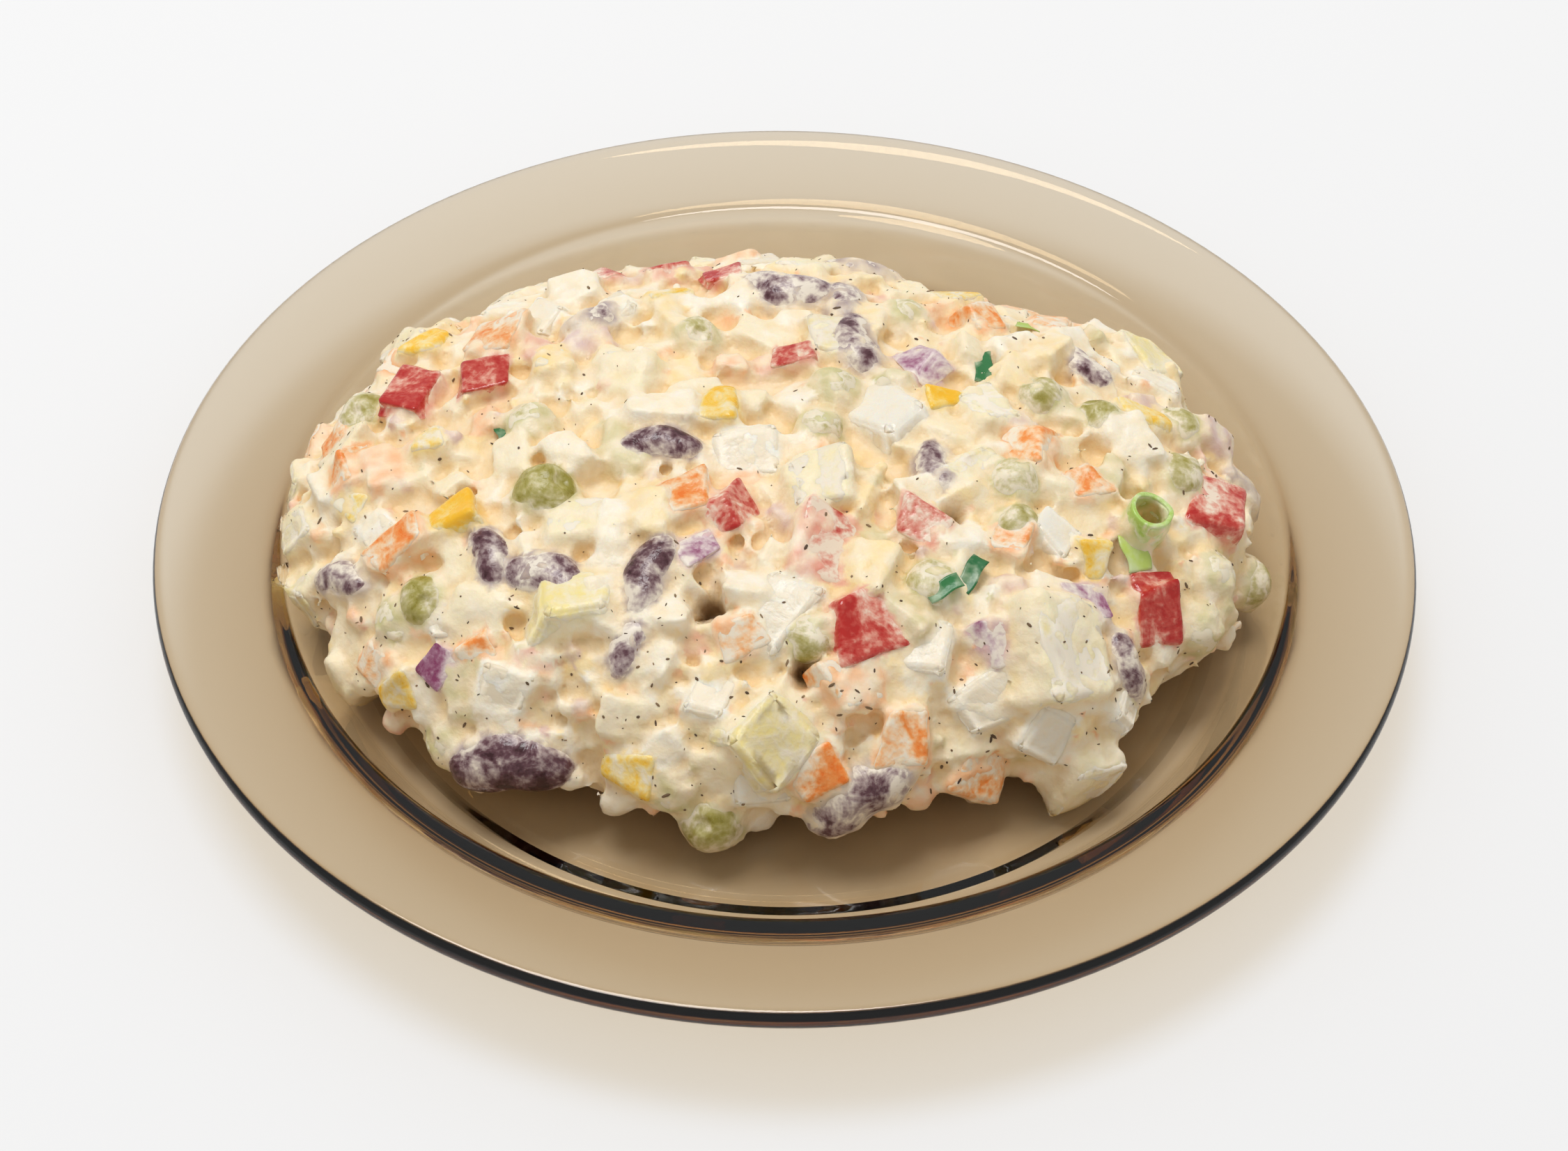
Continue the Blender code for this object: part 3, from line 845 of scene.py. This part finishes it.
out = normals_of(dressing.data)
fill = CREASE_FILL * np.clip(hollowness(dressing.data, 8), 0, 0.8)
points = press_hollows(points_of(dressing.data) / MM + out * fill[:, None])
swell = 0.12 * waves(points, 3.4, 3) + 0.15 * waves(points, 1.5, 5) + 0.1 * waves(points, 0.8, 9)
points += out * swell[:, None]
points = rest_on_glass(points) * MM
dressing.data.vertices.foreach_set("co", points.astype(np.float32).ravel())
dressing.data.update()
triangles = 2 * len(dressing.data.polygons)
apply(dressing, "DECIMATE", ratio=DRESSING_FACES / triangles)
dressing.data.shade_smooth()
print("dressing:", len(dressing.data.polygons), "triangles")

# %% [markdown]
# ## What lies just under the dressing, and painted shade
# A thin coat shows the colour of what it covers: orange over carrot, mauve over a bean.
# For each point of the dressing the nearest piece is found, and its colour is mixed in
# the more, the closer it is. Creases, where the surface lies below its own smoothed
# copy, get painted shade: a warm darkening that stands in for the light bouncing about
# in them. The bottoms of the holes get painted shade too, a dark brown.

# %% What lies just under the dressing, and painted shade
MAYONNAISE = lin(248, 234, 208)
# Painted shade: a warm darkening multiplied into the dressing in its creases.
PAINTED_CREASE_SHADE = lin(240, 218, 172)
# Painted shade: the dark brown that the bottoms of the holes are painted with.
PAINTED_PIT_SHADE = lin(122, 88, 48)
UNDER = {"bean": lin(158, 140, 150), "pea": lin(196, 192, 130), "corn": lin(251, 214, 120),
         "potato": lin(244, 235, 198), "egg": lin(250, 249, 243), "carrot": lin(250, 172, 108),
         "pepper": lin(228, 138, 124), "onion": lin(205, 168, 184), "ring": lin(184, 206, 120)}

PIECE_SHOWS = 0.9
SHOW_DEPTH = 0.6
SHOW_REACH = 1.6

covered = [(part, UNDER[kind], PIECE_SHOWS) for kind, parts in pieces_by_kind.items()
           for part in parts] + bits
cover_points, cover_faces = stacked([part for part, _, _ in covered])
face_counts = [len(part[1]) for part, _, _ in covered]
cover_colours = np.repeat([colour for _, colour, _ in covered], face_counts, axis=0)
cover_shows = np.repeat([shows for _, _, shows in covered], face_counts)
cover = BVHTree.FromPolygons(cover_points.tolist(), cover_faces)


def nearest(tree, points, reach_mm):
    """Index of the nearest face and the distance, for each point."""
    index = np.zeros(len(points), dtype=int)
    away = np.full(len(points), reach_mm)
    for i, point in enumerate(points):
        _, _, face, distance = tree.find_nearest(point, reach_mm)
        if face is not None:
            index[i], away[i] = face, distance
    return index, away


points = points_of(dressing.data) / MM
index, away = nearest(cover, points, SHOW_REACH)
mottle = np.clip(0.6 + 1.1 * waves(points, 2.0, 11), 0.15, 1)
see = (cover_shows[index] * np.exp(-away / SHOW_DEPTH) * mottle)[:, None]
tint = np.array(MAYONNAISE) * (1 - see) + cover_colours[index] * see
# Painted shade: creases are darkened and warmed, standing in for the light that bounces about in
# them.
hollow = np.clip(hollowness(dressing.data, 14) / 0.55, 0, 1)[:, None]
tint = tint * (1 - 0.7 * hollow) + np.array(PAINTED_CREASE_SHADE) * tint * 0.7 * hollow
# Painted shade: the deeper a point lies in a hole, the more it is painted dark brown.
shade = np.clip(2.2 * pit_share(points), 0, 0.85)[:, None]
tint = tint * (1 - shade) + np.array(PAINTED_PIT_SHADE) * shade
# The stored tint holds the colours that show through and the painted shade of creases and holes.
put_colour(dressing.data, "tint", tint)
print("mean share of what shows through:", round(float(see.mean()), 2))

# %% [markdown]
# ## The pieces themselves
# Each kind becomes one piece of many closed shells. A number at every point says how
# near it is to the dressing's rim, where the film of mayonnaise on it is thickest.

# %% The pieces themselves
RIM_DEPTH = 0.5
surface = BVHTree.FromPolygons(points.tolist(), faces_in(dressing.data))
kinds = {}
for kind, parts in pieces_by_kind.items():
    obj = joined(kind + "_pieces", parts)
    own = points_of(obj.data) / MM
    depth = np.zeros(len(own))
    for i, point in enumerate(own):
        spot, normal, _, distance = surface.find_nearest(point)
        depth[i] = distance if (Vector(point) - spot).dot(normal) > 0 else -distance
    put_number(obj.data, "rim", np.exp(-np.clip(depth, 0, None) / RIM_DEPTH))
    obj.data.shade_smooth()
    kinds[kind] = obj
print("pieces:", {kind: len(obj.data.polygons) for kind, obj in kinds.items()})


# %% [markdown]
# ## Materials: a node tree in a few lines
# A material is a short chain: noise, sums and a colour ramp into one Principled shader.

# %% Materials: helpers
SCATTER_DEPTH = 0.8
SCATTER_REACH = (1.0, 0.7, 0.4)


def set_inputs(node, **values):
    """Set a node's inputs by name, with _ for a space."""
    for key, value in values.items():
        node.inputs[key.replace("_", " ")].default_value = value


class Finish:
    """One material, built node by node."""

    def __init__(self, name, roughness, ior=1.45):
        self.material = bpy.data.materials.new(name)
        self.material.use_nodes = True
        self.tree = self.material.node_tree
        self.shader = self.tree.nodes["Principled BSDF"]
        set_inputs(self.shader, Roughness=roughness, IOR=ior)
        self.place = self.node("TexCoord").outputs["Object"]

    def node(self, kind, **values):
        """A new node with inputs set by name."""
        new = self.tree.nodes.new("ShaderNode" + kind)
        set_inputs(new, **values)
        return new

    def link(self, source, target):
        """Feed an input from a socket, a colour or a number."""
        if isinstance(source, bpy.types.NodeSocket):
            self.tree.links.new(source, target)
        else:
            target.default_value = (*source, 1) if isinstance(source, tuple) else source

    def drive(self, name, source):
        """Feed one input of the shader."""
        self.link(source, self.shader.inputs[name])

    def stored(self, name, output="Fac"):
        """A number or colour stored on the mesh."""
        new = self.node("Attribute")
        new.attribute_name = name
        return new.outputs[output]

    def noise(self, size, detail=2.0, distortion=0.0, roughness=0.5):
        """Noise whose lumps have about the given size in millimetres."""
        new = self.node("TexNoise", Scale=1000 / size / 2, Detail=detail,
                        Distortion=distortion, Roughness=roughness)
        self.link(self.place, new.inputs["Vector"])
        return new.outputs["Fac"]

    def sum(self, *terms):
        """Sum of (socket, factor) pairs and plain numbers, kept between 0 and 1."""
        total = 0.0
        for term in terms:
            source, factor = term if isinstance(term, tuple) else (term, 1.0)
            step = self.node("Math")
            step.operation = "MULTIPLY_ADD"
            for value, target in zip((source, factor, total), step.inputs):
                self.link(value, target)
            total = step.outputs[0]
        step.use_clamp = True
        return total

    def ramp(self, factor, *stops):
        """A colour from a factor, by (place, colour) stops."""
        new = self.node("ValToRGB")
        bar = new.color_ramp.elements
        while len(bar) < len(stops):
            bar.new(0.5)
        for element, (place, colour) in zip(bar, stops):
            element.position = place
            element.color = (*colour, 1)
        self.link(factor, new.inputs["Fac"])
        return new.outputs["Color"]

    def mix(self, factor, a, b, blend="MIX"):
        """Two colours mixed by a factor."""
        new = self.node("Mix")
        new.data_type = "RGBA"
        new.blend_type = blend
        for value, place in ((factor, 0), (a, 6), (b, 7)):
            self.link(value, new.inputs[place])
        return new.outputs[2]

    def bump(self, height, depth):
        """Relief of the given depth in millimetres."""
        new = self.node("Bump", Strength=1.0, Distance=depth * MM)
        self.link(height, new.inputs["Height"])
        self.drive("Normal", new.outputs["Normal"])

    def glow(self, weight):
        """Light that enters, scatters a few tenths of a millimetre deep and leaves."""
        set_inputs(self.shader, Subsurface_Weight=weight, Subsurface_Scale=SCATTER_DEPTH * MM,
                   Subsurface_Radius=SCATTER_REACH)

    def onto(self, obj):
        """Give the finish to a piece that rides on the part."""
        obj.data.materials.clear()
        obj.data.materials.append(self.material)
        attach(obj, "root")


# %% [markdown]
# ## The dressing's finish
# Mayonnaise is an emulsion: bright, a little yellow, and light sinks about a
# millimetre into it. Its shine is soft but wet, and never even: noise makes it
# duller in patches.

# %% The dressing's finish
finish = Finish("mayonnaise_dressing", roughness=0.45, ior=1.45)
cloud = finish.noise(2.2, detail=3)
speck = finish.noise(0.5, detail=2)
warm = finish.sum((cloud, 1.7), (speck, 0.5), -0.75)
pale = finish.mix(warm, finish.stored("tint", "Color"), lin(255, 246, 226), "MULTIPLY")
finish.drive("Base Color", pale)
finish.drive("Roughness", finish.sum((cloud, 0.25), (speck, 0.15), 0.26))
finish.bump(finish.sum((finish.noise(0.9, detail=4), 0.7), (speck, 0.3)), 0.32)
finish.glow(0.3)
finish.onto(dressing)
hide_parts("salad")

# %% [markdown]
# ## Finishes of the pieces
# One recipe serves all kinds: the piece's own colour, and over it a film that runs from
# bare through a cloudy tint to full cream. The film is thickest near the dressing and
# on pieces marked as coated, and noise tears it into smears.

# %% Finishes of the pieces
FILM = {
    "bean": ((62, 26, 32), (104, 70, 78), (176, 156, 154), (242, 231, 214)),
    "pea": ((152, 142, 56), (176, 166, 92), (206, 196, 144), (245, 234, 208)),
    "corn": ((255, 196, 44), (254, 208, 84), (252, 226, 152), (249, 238, 212)),
    "potato": ((248, 230, 156), (246, 231, 178), (247, 235, 200), (249, 239, 220)),
    "egg": ((246, 242, 229), (247, 240, 224), (248, 238, 217), (248, 235, 210)),
    "carrot": ((246, 130, 44), (249, 158, 82), (252, 206, 158), (249, 236, 214)),
    "pepper": ((186, 40, 34), (202, 80, 68), (230, 156, 136), (247, 228, 206)),
    "onion": ((142, 64, 104), (176, 126, 150), (214, 190, 194), (246, 235, 222)),
    "ring": ((176, 208, 104), (198, 220, 142), (224, 232, 186), (247, 241, 220)),
}
GLOSS = {"bean": 0.22, "pea": 0.3, "corn": 0.26, "potato": 0.36, "egg": 0.3,
         "carrot": 0.3, "pepper": 0.16, "onion": 0.26, "ring": 0.28}
GLOWING = ("potato", "egg", "corn", "pea", "ring", "carrot")
for kind, obj in kinds.items():
    finish = Finish(kind + "_dressed", GLOSS[kind])
    smear = finish.noise(2.4, detail=4, distortion=0.8, roughness=0.6)
    grain = finish.noise(0.45, detail=2)
    film = finish.sum((finish.stored("bare"), -0.9), (finish.stored("rim"), 0.85),
                      (smear, 2.3), (grain, 0.9), -0.9)
    own, thin, cloudy, cream = (lin(*colour) for colour in FILM[kind])
    colour = finish.ramp(film, (0.0, own), (0.3, thin), (0.62, cloudy), (1.0, cream))
    shade = finish.sum((finish.stored("shade"), 0.5), (finish.noise(3.0), 0.5))
    finish.drive("Base Color", finish.mix(shade, colour, (0.86, 0.84, 0.80), "MULTIPLY"))
    finish.drive("Roughness", finish.sum((film, 0.2), GLOSS[kind] - 0.04))
    finish.bump(finish.sum((film, 0.7), (grain, 0.12)), 0.16)
    if kind in GLOWING:
        finish.glow(0.25)
    finish.onto(obj)

# %% [markdown]
# ## Herbs and pepper
# Bits of green onion leaf and about a thousand grains of cracked pepper lie on the
# dressing. They are dropped onto the real surface, each found by a ray from outside:
# the grains half sunk, the leaves just clear of it.

# %% Herbs and pepper
GRAIN_COUNT = 1050
DROP_FROM = 12


def drop(rng, angle, level, lift):
    """The frame of a grain on the dressing: its place and the surface's turn."""
    normal = skin_normal(angle, level)
    far = skin(angle, level) + normal * DROP_FROM
    hit, face_normal, _, _ = surface.ray_cast(far, -normal, 2 * DROP_FROM)
    if hit is None:
        return None
    turn = Matrix.Rotation(rng.uniform(0, math.tau), 4, "Z")
    return Matrix.Translation(hit + face_normal * lift) @ face_along(face_normal) @ turn


bpy.ops.mesh.primitive_ico_sphere_add(subdivisions=1, radius=0.5)
grain_points, grain_faces = take_mesh(bpy.context.object)
grain_rng = random.Random(5)
grains = []
for _ in range(GRAIN_COUNT):
    angle, level = grain_rng.uniform(0, math.tau), grain_rng.random() ** 0.8
    seat_of_grain = drop(grain_rng, angle, level, 0.02)
    if seat_of_grain is None:
        continue
    size = 0.17 + 0.38 * grain_rng.random() ** 3
    form = Matrix.Diagonal((size * grain_rng.uniform(1, 3.4), size, size * 0.5, 1))
    grains.append((moved(grain_points, seat_of_grain @ form), grain_faces,
                   {"shade": grain_rng.random()}))
pepper_grains = joined("cracked_pepper", grains)
finish = Finish("cracked_pepper", roughness=0.7)
speck = finish.noise(0.3, detail=1)
tone = finish.sum((finish.stored("shade"), 0.8), (speck, 0.3), -0.1)
finish.drive("Base Color", finish.ramp(tone, (0.0, lin(70, 54, 42)), (0.6, lin(116, 92, 66)),
                                       (1.0, lin(158, 132, 98))))
finish.bump(speck, 0.05)
finish.onto(pepper_grains)
print("pepper grains:", len(grains))

# %% Leaves
LEAVES = ((30, 15, 8.5, 2.8, -30, 0.15), (27, -29, 6.5, 2.6, 40, 0.1),
          (23, -32, 5.5, 2.4, 35, 0.2), (-43, 0, 3.2, 2.2, 20, 0.1),
          (38, 27, 4.0, 2.0, 10, 0.9), (52, -19, 6.0, 4.0, 70, 1.0))


def leaf_master():
    """A strip of leaf: a grid folded a little along its midrib, with thickness."""
    bpy.ops.mesh.primitive_grid_add(x_subdivisions=14, y_subdivisions=8, size=1.0)
    obj = bpy.context.object
    apply(obj, "SOLIDIFY", thickness=0.05, offset=0)
    points, faces = take_mesh(obj)
    points[:, 2] += 0.10 * np.abs(points[:, 1]) - 0.35 * points[:, 0] ** 2
    points[:, 1] += 0.06 * np.sin(points[:, 0] * 7)
    return points, faces


leaf_points, leaf_faces = leaf_master()
leaf_parts = []
for x, y, length, width, turn, shade in LEAVES:
    angle, level = spot_over(x, y)
    spot = Matrix.Translation(drop(grain_rng, angle, level, 0.25).translation)
    turn = Matrix.Rotation(math.radians(turn), 4, "Z")
    size = Matrix.Diagonal((length, width, length * 0.5, 1))
    matrix = spot @ face_along(skin_normal(angle, level)) @ turn @ size
    leaf_parts.append((moved(leaf_points, matrix), leaf_faces, {"shade": shade}))
leaves = joined("onion_leaves", leaf_parts)
leaves.data.shade_smooth()
finish = Finish("green_leaf", roughness=0.3)
rib = finish.noise(0.5, detail=2)
green = finish.ramp(finish.stored("shade"), (0.0, lin(34, 96, 58)), (0.3, lin(58, 132, 70)),
                    (1.0, lin(188, 208, 104)))
smear = finish.sum((finish.noise(1.6, detail=3), 2.6), -1.2)
finish.drive("Base Color", finish.mix(smear, green, lin(214, 222, 190)))
finish.bump(rib, 0.08)
finish.onto(leaves)

# %% [markdown]
# ## The plate
# Smoked glass is clear glass with a brown dye in the melt: the longer light travels in
# it, the browner it gets. So the colour is not on the surface but in the volume, as
# absorption, and the dark rings come by themselves where light runs along the wall.
# Rays towards a lamp, and those that light one surface from another, go straight
# through and are tinted by the dye. A bent ray would seldom find the lamp, and the
# table under the plate would be black.

# %% The plate
TURN_STEPS = 192
LONGEST_STRETCH = 0.8
DYE = (0.70, 0.51, 0.17)
DYE_DENSITY = 200.0
LET_THROUGH = 0.96

section = (evenly(inner_section(), LONGEST_STRETCH) + lip_section()
           + evenly(outer_section(), LONGEST_STRETCH))
mesh = bpy.data.meshes.new("glass_plate")
mesh.from_pydata([(r * MM, 0, z * MM) for r, z in section],
                 [(i, i + 1) for i in range(len(section) - 1)], [])
plate = add("glass_plate", mesh)
apply(plate, "SCREW", angle=math.tau, steps=TURN_STEPS, render_steps=TURN_STEPS,
      use_merge_vertices=True, merge_threshold=0.00001, use_normal_calculate=True)
start_edit(plate)
bpy.ops.mesh.remove_doubles(threshold=0.000005)
bpy.ops.mesh.normals_make_consistent(inside=False)
bpy.ops.object.mode_set(mode="OBJECT")
plate.data.shade_smooth()

finish = Finish("smoked_glass", roughness=0.0, ior=1.5)
finish.drive("Base Color", (1.0, 1.0, 1.0))
finish.drive("Transmission Weight", 1.0)
surface_out = finish.tree.nodes["Material Output"]
dye = finish.node("VolumeAbsorption", Color=(*DYE, 1), Density=DYE_DENSITY)
finish.link(dye.outputs["Volume"], surface_out.inputs["Volume"])
path = finish.node("LightPath").outputs
clear = finish.node("BsdfTransparent", Color=(LET_THROUGH, LET_THROUGH, LET_THROUGH, 1))
either = finish.node("MixShader")
straight = finish.sum((path["Is Shadow Ray"], 1.0), (path["Is Diffuse Ray"], 1.0))
finish.link(straight, either.inputs[0])
finish.link(finish.shader.outputs["BSDF"], either.inputs[1])
finish.link(clear.outputs["BSDF"], either.inputs[2])
finish.link(either.outputs["Shader"], surface_out.inputs["Surface"])
finish.onto(plate)
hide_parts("plate")
print("plate faces:", len(plate.data.polygons))

# %% [markdown]
# ## Table, light and camera
# The dish stands on a white table in pale light from all round, with one wide lamp
# above it and a little behind, so that the heap shades the well in front. The camera
# looks down at about 45 degrees through a long lens.

# %% Table, light and camera
TABLE_DROP = 0.05
TABLE_GREY = 0.86
SKY_STRENGTH = 0.51
LAMP_PLACE = Vector((-0.3, 0.5, 2.2))
LAMP_SIZE = (1.1, 0.9)
LAMP_WATTS = 31
LOOK_DOWN = math.radians(45.34)
ROLL = math.radians(0.875)
LENS = 73.29
SENSOR = 36

# In plate radii: where the camera looks, from the axis, and how far away it stands
LOOK_AT = (-0.0009, -0.1349)
AWAY = 5

bpy.ops.mesh.primitive_plane_add(size=6, location=(0, 0, -TABLE_DROP * MM))
table_top = bpy.context.object
table_top.name = "table_top"
white = bpy.data.materials.new("white_table")
white.use_nodes = True
set_inputs(white.node_tree.nodes["Principled BSDF"], Roughness=0.9,
           Base_Color=(TABLE_GREY, TABLE_GREY, TABLE_GREY, 1))
table_top.data.materials.append(white)

world = bpy.data.worlds.new("light_tent")
world.use_nodes = True
set_inputs(world.node_tree.nodes["Background"], Color=(1, 1, 1, 1), Strength=SKY_STRENGTH)
bpy.context.scene.world = world


def aim(obj, place, turn):
    """Put a lamp or a camera at a place, with a turn."""
    obj.location = place
    obj.rotation_mode = "QUATERNION"
    obj.rotation_quaternion = turn


light = bpy.data.lights.new("soft_box", "AREA")
light.shape = "RECTANGLE"
light.size, light.size_y = LAMP_SIZE
light.energy = LAMP_WATTS
obj = add("soft_box", light)
aim(obj, LAMP_PLACE, (-LAMP_PLACE).to_track_quat("-Z", "Y"))

radius = PLATE_RADIUS * MM
target = Vector((LOOK_AT[0] * radius, LOOK_AT[1] * radius, (PLATE_HEIGHT - 0.8) * MM))
back = Vector((0, -math.cos(LOOK_DOWN), math.sin(LOOK_DOWN)))
camera = add("camera", bpy.data.cameras.new("camera"))
camera.data.lens = LENS
camera.data.sensor_width = SENSOR
roll = Matrix.Rotation(ROLL, 3, "Z").to_quaternion()
aim(camera, target + back * AWAY * radius, (-back).to_track_quat("-Z", "Y") @ roll)
bpy.context.scene.camera = camera
bpy.context.scene.view_settings.view_transform = "Standard"
